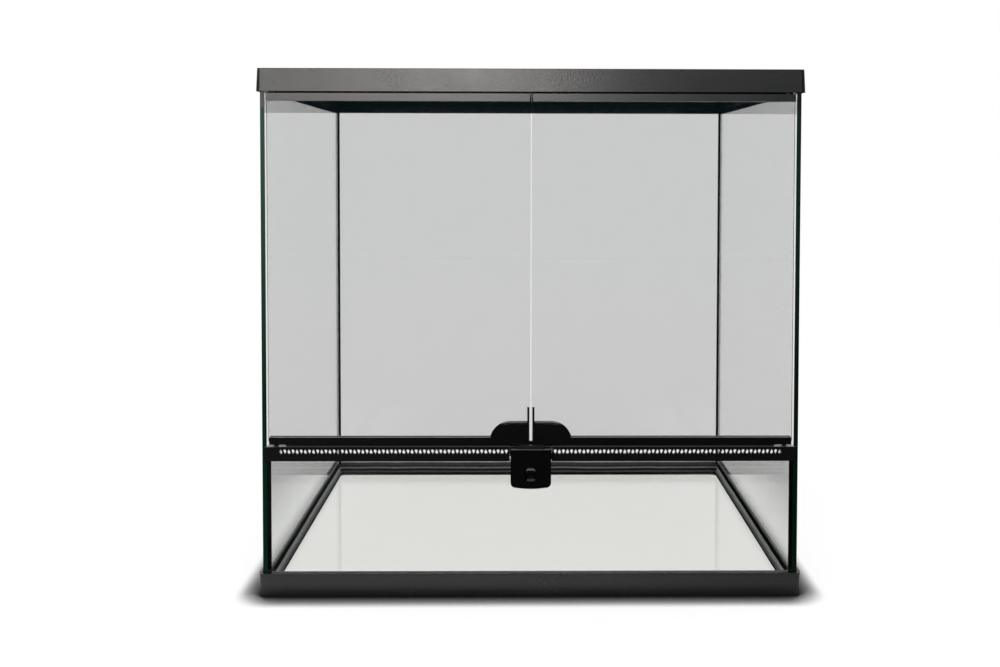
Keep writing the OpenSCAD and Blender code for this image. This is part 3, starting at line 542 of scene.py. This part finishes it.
def make_lock_slide(grey, black, highlight):
    """The bolt with a lower thumb button, a little higher up, whose upper edge carries a painted highlight.
    """
    slide = copy_node("lock_slide", "lock_bolt")
    for v in slide.data.vertices:
        up = (v.co.z - BUTTON_Z[0]) / (BUTTON_Z[1] - BUTTON_Z[0])
        on_button = v.co.y < BUTTON_FOOT_Y and abs(v.co.x) < BUTTON_HALF_W
        if on_button and -HEIGHT_SLACK < up < 1 + HEIGHT_SLACK:
            v.co.z = BUTTON_AT[0] + up * (BUTTON_AT[1] - BUTTON_AT[0])
            if up > 0.5 and v.co.y < BOLT_FACE_Y - FRONT_OUT:
                v.co.z -= BUTTON_SLOPE
    slide.data.update()
    set_materials(slide, grey, black, highlight)
    for p in slide.data.polygons:
        if p.center.y < BOLT_FACE_Y - FACE_OUT:
            # Upward faces of the button's front get the painted highlight
            p.material_index = 2 if p.normal.z > 0.5 else 1
    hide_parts("lock_bolt")
    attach(slide, "lock_bolt")


# ---- Silicone ----
# Plugs in the slots between the ends of the strips and the lock: name, sides and foot
SLOT_SEALS = (
    ("left_slot_seal", -0.02345, -0.02215, 0.1575),
    ("right_slot_seal", 0.02215, 0.02345, 0.1525),
)
SEAL_TOP = 0.17
SEAL_Y = (-0.2174, -0.2142)
SEAL_R = 0.0003
SEAL_EDGE = 0.0002
# Section of the bead round the floor: distance from the pane and height above the floor pane, in mm
BEAD = (
    (0.03, 18.0), (0.08, 14.8), (0.15, 12.6), (0.3, 10.4), (0.6, 8.8), (1.0, 6.8), (1.4, 5.4), (1.8, 5.0),
    (2.4, 4.6), (3.4, 3.7), (4.1, 3.0), (5.2, 2.2), (6.0, 1.2), (6.6, 0.7), (7.1, 0.0),
)
# Its tone by height in mm: the dark smear on the floor pane, a painted sheen above it, a painted highlight
# on the crest, the steep flank in painted shade, and up the panes a painted reflection of the bead
BEAD_TONES = (
    (0.0, 0.006), (1.2, 0.008), (1.7, 0.1), (2.7, 0.11), (3.2, 0.08), (3.7, 0.27), (6.4, 0.29), (6.9, 0.015),
    (7.4, 0.001), (11.2, 0.001), (13.0, 0.03), (14.6, 0.1), (15.8, 0.15), (16.6, 0.22), (18.0, 0.3),
)
# The same along the rear pane, where the bead's painted reflection in the pane is wider and lighter, and
# where that begins, from the pane
REAR_TONES = (
    (0.0, 0.06), (1.5, 0.08), (2.2, 0.05), (2.6, 0.008), (3.9, 0.01), (4.6, 0.06), (5.2, 0.19), (6.4, 0.19),
    (7.0, 0.045), (8.0, 0.015), (9.5, 0.05), (13.3, 0.06), (13.9, 0.4), (18.0, 0.46),
)
REAR_REACH = (0.0095, 0.0085)
# How far the borders of the painted bands wander up and down, and the noises of that and of the finger's
# marks
BEAD_WANDER = 0.00045
WANDER_NOISE = (14.0, 3.0, 0.6)
MARKS_NOISE = (160.0, 3.0, 0.6)
# Darkest tone of the marks, how much of it they have, and the range of their roughness
MARKS_COLOUR = (0.004, 0.004, 0.004)
MARKS_SHARE = 0.25
BEAD_ROUGH = (0.22, 0.42)
# The corners are drawn round by a fingertip, wider away from the pane by this share of the distance.
# Above the last height, in mm, the bead lies on the panes, a thin sheet that carries the painted reflection
CORNER_R = 0.004
CORNER_GROWTH = 0.4
CORNER_STEPS = 10
PANE_SHEET_FROM = 10


def make_slot_seals(rubber):
    """Soft plugs in the slots between the ends of the strips and the lock."""
    for name, x0, x1, z0 in SLOT_SEALS:
        seal = solid(name, rounded(x0, x1, z0, SEAL_TOP, SEAL_R, SEAL_R, 3), *SEAL_Y)
        bevel(seal, SEAL_EDGE, 2)
        apply_modifiers(seal)
        seal.data.materials.append(rubber)
        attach(seal, "tank")


def tone_ramp(nt, level, table, span):
    """The colour of a table of (height in mm, tone), with level running from 0 to 1 over span metres."""
    ramp = nt.nodes.new("ShaderNodeValToRGB")
    nt.links.new(level, ramp.inputs["Fac"])
    marks = ramp.color_ramp.elements
    marks[0].position, marks[1].position = 0.0, 1.0
    for _ in table[2:]:
        marks.new(0.5)
    for mark, (at, tone) in zip(marks, table):
        mark.position = at * MM / span
        mark.color = (tone, tone, tone * 0.99, 1)
    return ramp.outputs["Color"]


def bead_material(z0, rear_y):
    """Black silicone that was tooled by hand, with its sheen, crest highlight, flank shade and reflection in
    the panes painted into its tone; on a floor pane at z0 and with the rear pane at rear_y.
    """
    mat, nt, bsdf, out = new_material("bead_silicone")
    bsdf.inputs["Specular IOR Level"].default_value = 0.0
    coords = node(nt, "ShaderNodeTexCoord")
    place = split(nt, coords.outputs["Object"])
    slow = noise(nt, coords, *WANDER_NOISE)
    fine = noise(nt, coords, *MARKS_NOISE)
    height = math_node(nt, "ADD", place["Z"], ramp_node(nt, slow, 0.3, 0.7, -BEAD_WANDER, BEAD_WANDER))
    span = BEAD[0][1] * MM
    level = ramp_node(nt, height, z0, z0 + span)
    sides, rear = (tone_ramp(nt, level, table, span) for table in (BEAD_TONES, REAR_TONES))
    at_rear = ramp_node(nt, place["Y"], rear_y - REAR_REACH[0], rear_y - REAR_REACH[1])
    tone = mix_colour(nt, at_rear, sides, rear)
    patches = ramp_node(nt, fine, 0.35, 0.75, 0.0, MARKS_SHARE)
    nt.links.new(mix_colour(nt, patches, tone, MARKS_COLOUR), bsdf.inputs["Base Color"])
    nt.links.new(ramp_node(nt, fine, 0.3, 0.7, *BEAD_ROUGH), bsdf.inputs["Roughness"])
    bump = bump_node(nt, fine, 0.06, 0.0001)
    nt.links.new(bump.outputs["Normal"], bsdf.inputs["Normal"])
    return mat


def bead_ring(bm, half_x, half_y, turn, z, on_panes):
    """A closed line of points with round corners, or with square ones where it lies on the panes."""
    ring = []
    for sx, sy, start in ((1, 1, 0), (-1, 1, 90), (-1, -1, 180), (1, -1, 270)):
        cx, cy = sx * (half_x - turn), sy * (half_y - turn)
        for k in range(CORNER_STEPS + 1):
            a = math.radians(start + 90 * k / CORNER_STEPS)
            x, y = math.cos(a), math.sin(a)
            if on_panes:
                out = 1 / max(abs(x), abs(y))
                x, y = x * out, y * out
            ring.append(bm.verts.new((cx + turn * x, cy + turn * y, z)))
    return ring


def make_floor_bead():
    """Tooled silicone bead with a raised crest, swept round the four sides of the floor pane and going on up
    the panes as a thin sheet for the painted reflection.
    """
    low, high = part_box("floor_seam")
    half_x, half_y, z0 = high[0], high[1], low[2]
    bm = bmesh.new()
    rings = []
    for from_pane, up in BEAD:
        turn = CORNER_R + from_pane * MM * CORNER_GROWTH
        rings.append(bead_ring(bm, half_x - from_pane * MM, half_y - from_pane * MM, turn, z0 + up * MM,
                               up > PANE_SHEET_FROM))
    base = [bm.verts.new((v.co.x, v.co.y, z0)) for v in rings[0]]
    count = len(base)
    order = [base] + rings
    for i in range(len(order)):
        a, b = order[i], order[(i + 1) % len(order)]
        for k in range(count):
            f = bm.faces.new((a[k], a[(k + 1) % count], b[(k + 1) % count], b[k]))
            f.smooth = 1 <= i < len(order) - 1
    mesh = bpy.data.meshes.new("floor_bead")
    end_mesh(bm, mesh)
    bead = add_object("floor_bead", mesh)
    mesh.materials.append(bead_material(z0, half_y))
    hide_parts("floor_seam")
    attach(bead, "tank")


# ---- Stage ----
FLOOR_FRONT = -0.4
FLOOR_BACK = 4.0
FLOOR_HALF_W = 4.0
FLOOR_Z = -0.0002
# Share of the sheet's white that is its own, so that the light that the tank takes away shows only softly
FLOOR_GLOW = 0.7
# Reach, depth and samples of the deep, narrow contact shadow
SHADOW_REACH = 0.03
SHADOW_POWER = 6.5
SHADOW_SAMPLES = 8
# Rim of the foot, under which the shadow goes on before the plain ground that the floor pane shows
FOOT_RIM = 0.004
# Mirrored, the sheet's level over a range of Y in front of the tank, and over a range of X
MIRROR_FRONT = (-0.3, -0.285, 0.03, 1.0)
MIRROR_RIGHT = (0.0, 0.32, 1.0, 0.62)
MIRROR_TANK_Y = -0.222
# Half widths between which the dim middle of the tank's floor ends, and how much dimmer it is
MIRROR_MIDDLE = (0.18, 0.27)
MIRROR_DIM = 0.95


def mirrored_level(nt, x, y, off_x, under):
    """The sheet's level where the tank mirrors it. It is white only close by: it turns dark in front,
    where the room is, greyer to the right, and grey in the middle of the tank."""
    front = smooth(nt, y, *MIRROR_FRONT)
    right = smooth(nt, x, *MIRROR_RIGHT)
    ahead = math_node(nt, "MAXIMUM", math_node(nt, "MULTIPLY", front, right),
                      math_node(nt, "GREATER_THAN", y, MIRROR_TANK_Y))
    middle = smooth(nt, off_x, *MIRROR_MIDDLE)
    shade = math_node(nt, "MULTIPLY", invert(nt, middle), under)
    inside = invert(nt, math_node(nt, "MULTIPLY", shade, MIRROR_DIM))
    return math_node(nt, "MULTIPLY", ahead, inside)


def floor_material(middle_y):
    """White that is mostly the sheet's own, with the contact shadow. middle_y is the sheet's middle."""
    mat, nt, bsdf, out = new_material("floor_white")
    nt.nodes.remove(bsdf)
    near = node(nt, "ShaderNodeAmbientOcclusion", Distance=SHADOW_REACH)
    near.samples = SHADOW_SAMPLES
    # Under the tank the sheet is seen through the floor pane and stays plain
    place = split(nt, node(nt, "ShaderNodeTexCoord").outputs["Object"])
    y = math_node(nt, "ADD", place["Y"], middle_y)
    off_x = math_node(nt, "ABSOLUTE", place["X"])
    off_y = math_node(nt, "ABSOLUTE", y)
    in_x = math_node(nt, "LESS_THAN", off_x, cad_box[1][0] - FOOT_RIM)
    in_y = math_node(nt, "LESS_THAN", off_y, cad_box[1][1] - FOOT_RIM)
    under = math_node(nt, "MULTIPLY", in_x, in_y)
    deep = math_node(nt, "POWER", near.outputs["AO"], SHADOW_POWER)
    level = math_node(nt, "MAXIMUM", deep, under)
    path = nt.nodes.new("ShaderNodeLightPath")
    mirrored = math_node(nt, "GREATER_THAN", path.outputs["Glossy Depth"], 0.5)
    lost = invert(nt, mirrored_level(nt, place["X"], y, off_x, under))
    seen = invert(nt, math_node(nt, "MULTIPLY", mirrored, lost))
    level = math_node(nt, "MULTIPLY", level, seen)
    grey = nt.nodes.new("ShaderNodeCombineColor")
    for channel in grey.inputs:
        nt.links.new(level, channel)
    diffuse = node(nt, "ShaderNodeBsdfDiffuse")
    nt.links.new(grey.outputs["Color"], diffuse.inputs["Color"])
    glow = nt.nodes.new("ShaderNodeEmission")
    nt.links.new(grey.outputs["Color"], glow.inputs["Color"])
    own = math_node(nt, "ADD", math_node(nt, "MULTIPLY", under, 1 - FLOOR_GLOW), FLOOR_GLOW)
    nt.links.new(mix_shader(nt, own, diffuse.outputs[0], glow.outputs[0]), out.inputs["Surface"])
    return mat


def make_floor():
    """White sheet that ends a little in front of the camera's view."""
    mesh = bpy.data.meshes.new("floor")
    half_y = (FLOOR_BACK - FLOOR_FRONT) / 2
    corners = [(x * FLOOR_HALF_W, y * half_y, 0) for x, y in ((-1, -1), (1, -1), (1, 1), (-1, 1))]
    mesh.from_pydata(corners, [], [(0, 1, 2, 3)])
    floor = add_object("floor", mesh)
    floor.location = (0, (FLOOR_BACK + FLOOR_FRONT) / 2, FLOOR_Z)
    mesh.materials.append(floor_material(floor.location.y))


# The dark room in front that reflections see: ahead, and low down to the left and the right
ROOM_FRONT = (0.016, 0.05, 0.062)
ROOM_LOW_LEFT = (0.085, 0.085, 0.087)
ROOM_LOW_RIGHT = (0.01, 0.01, 0.0105)
WHITE = (1.0, 1.0, 1.0)
# Directions between which the room turns into the white behind the tank, its low part runs from left to
# right, and the front turns into the low part
ROOM_END_Y = (-0.05, 0.3)
ROOM_ACROSS_X = (-0.28, 0.08)
ROOM_DOWN_Z = (-0.08, -0.2)


def make_world():
    """White all round for the camera and for plain light. Reflections see a dark room in front."""
    world = bpy.data.worlds.new("studio")
    bpy.context.scene.world = world
    world.use_nodes = True
    nt = world.node_tree
    back = nt.nodes["Background"]
    back.inputs["Strength"].default_value = 1.0
    facing = split(nt, nt.nodes.new("ShaderNodeTexCoord").outputs["Generated"])
    path = nt.nodes.new("ShaderNodeLightPath").outputs
    unreflected = math_node(nt, "LESS_THAN", path["Glossy Depth"], 0.5)
    through = math_node(nt, "MULTIPLY", path["Is Transmission Ray"], unreflected)
    direct = math_node(nt, "MAXIMUM", path["Is Camera Ray"], path["Is Diffuse Ray"])
    white = math_node(nt, "MAXIMUM", direct, through)
    level = math_node(nt, "MAXIMUM", white, smooth(nt, facing["Y"], *ROOM_END_Y))
    low = mix_colour(nt, smooth(nt, facing["X"], *ROOM_ACROSS_X), ROOM_LOW_LEFT, ROOM_LOW_RIGHT)
    room = mix_colour(nt, smooth(nt, facing["Z"], *ROOM_DOWN_Z), ROOM_FRONT, low)
    nt.links.new(mix_colour(nt, level, room, WHITE), back.inputs["Color"])


WARM = (1.0, 0.965, 0.945)
# Upright panels in front of the tank that the top frame mirrors: name, centre, width, height, radiance
# and colour
PANELS = (
    ("main_panel", (-0.24, -2.2, 1.04), 0.72, 0.66, 9.6, WARM),
    ("left_panel", (-0.98, -2.2, 1.04), 0.46, 0.66, 7.3, WARM),
    ("right_panel", (0.62, -2.2, 1.12), 0.9, 0.46, 1.0, WHITE),
)
# The panels look at a line over the tank's middle, this much lower than they are
PANEL_DROP = 0.2


def make_lights():
    """The panels. Their light counts once: the panes would repeat it many times over."""
    for name, centre, width, height, radiance, colour in PANELS:
        data = bpy.data.lights.new(name, "AREA")
        data.shape = "RECTANGLE"
        data.size, data.size_y = width, height
        data.energy = radiance * math.pi * width * height
        data.color = colour
        data.use_nodes = True
        nt = data.node_tree
        path = nt.nodes.new("ShaderNodeLightPath").outputs
        first = math_node(nt, "LESS_THAN", path["Glossy Depth"], 1.5)
        open_air = math_node(nt, "LESS_THAN", path["Transmission Depth"], 0.5)
        nt.links.new(math_node(nt, "MULTIPLY", first, open_air), nt.nodes["Emission"].inputs["Strength"])
        panel = add_object(name, data)
        panel.location = centre
        target = Vector((centre[0], 0, centre[2] - PANEL_DROP))
        panel.rotation_euler = (target - Vector(centre)).to_track_quat("-Z", "Y").to_euler()


make_camera()
make_floor()
make_world()
make_lights()
dress_cad()

scene = bpy.context.scene
scene.view_settings.view_transform = "Standard"
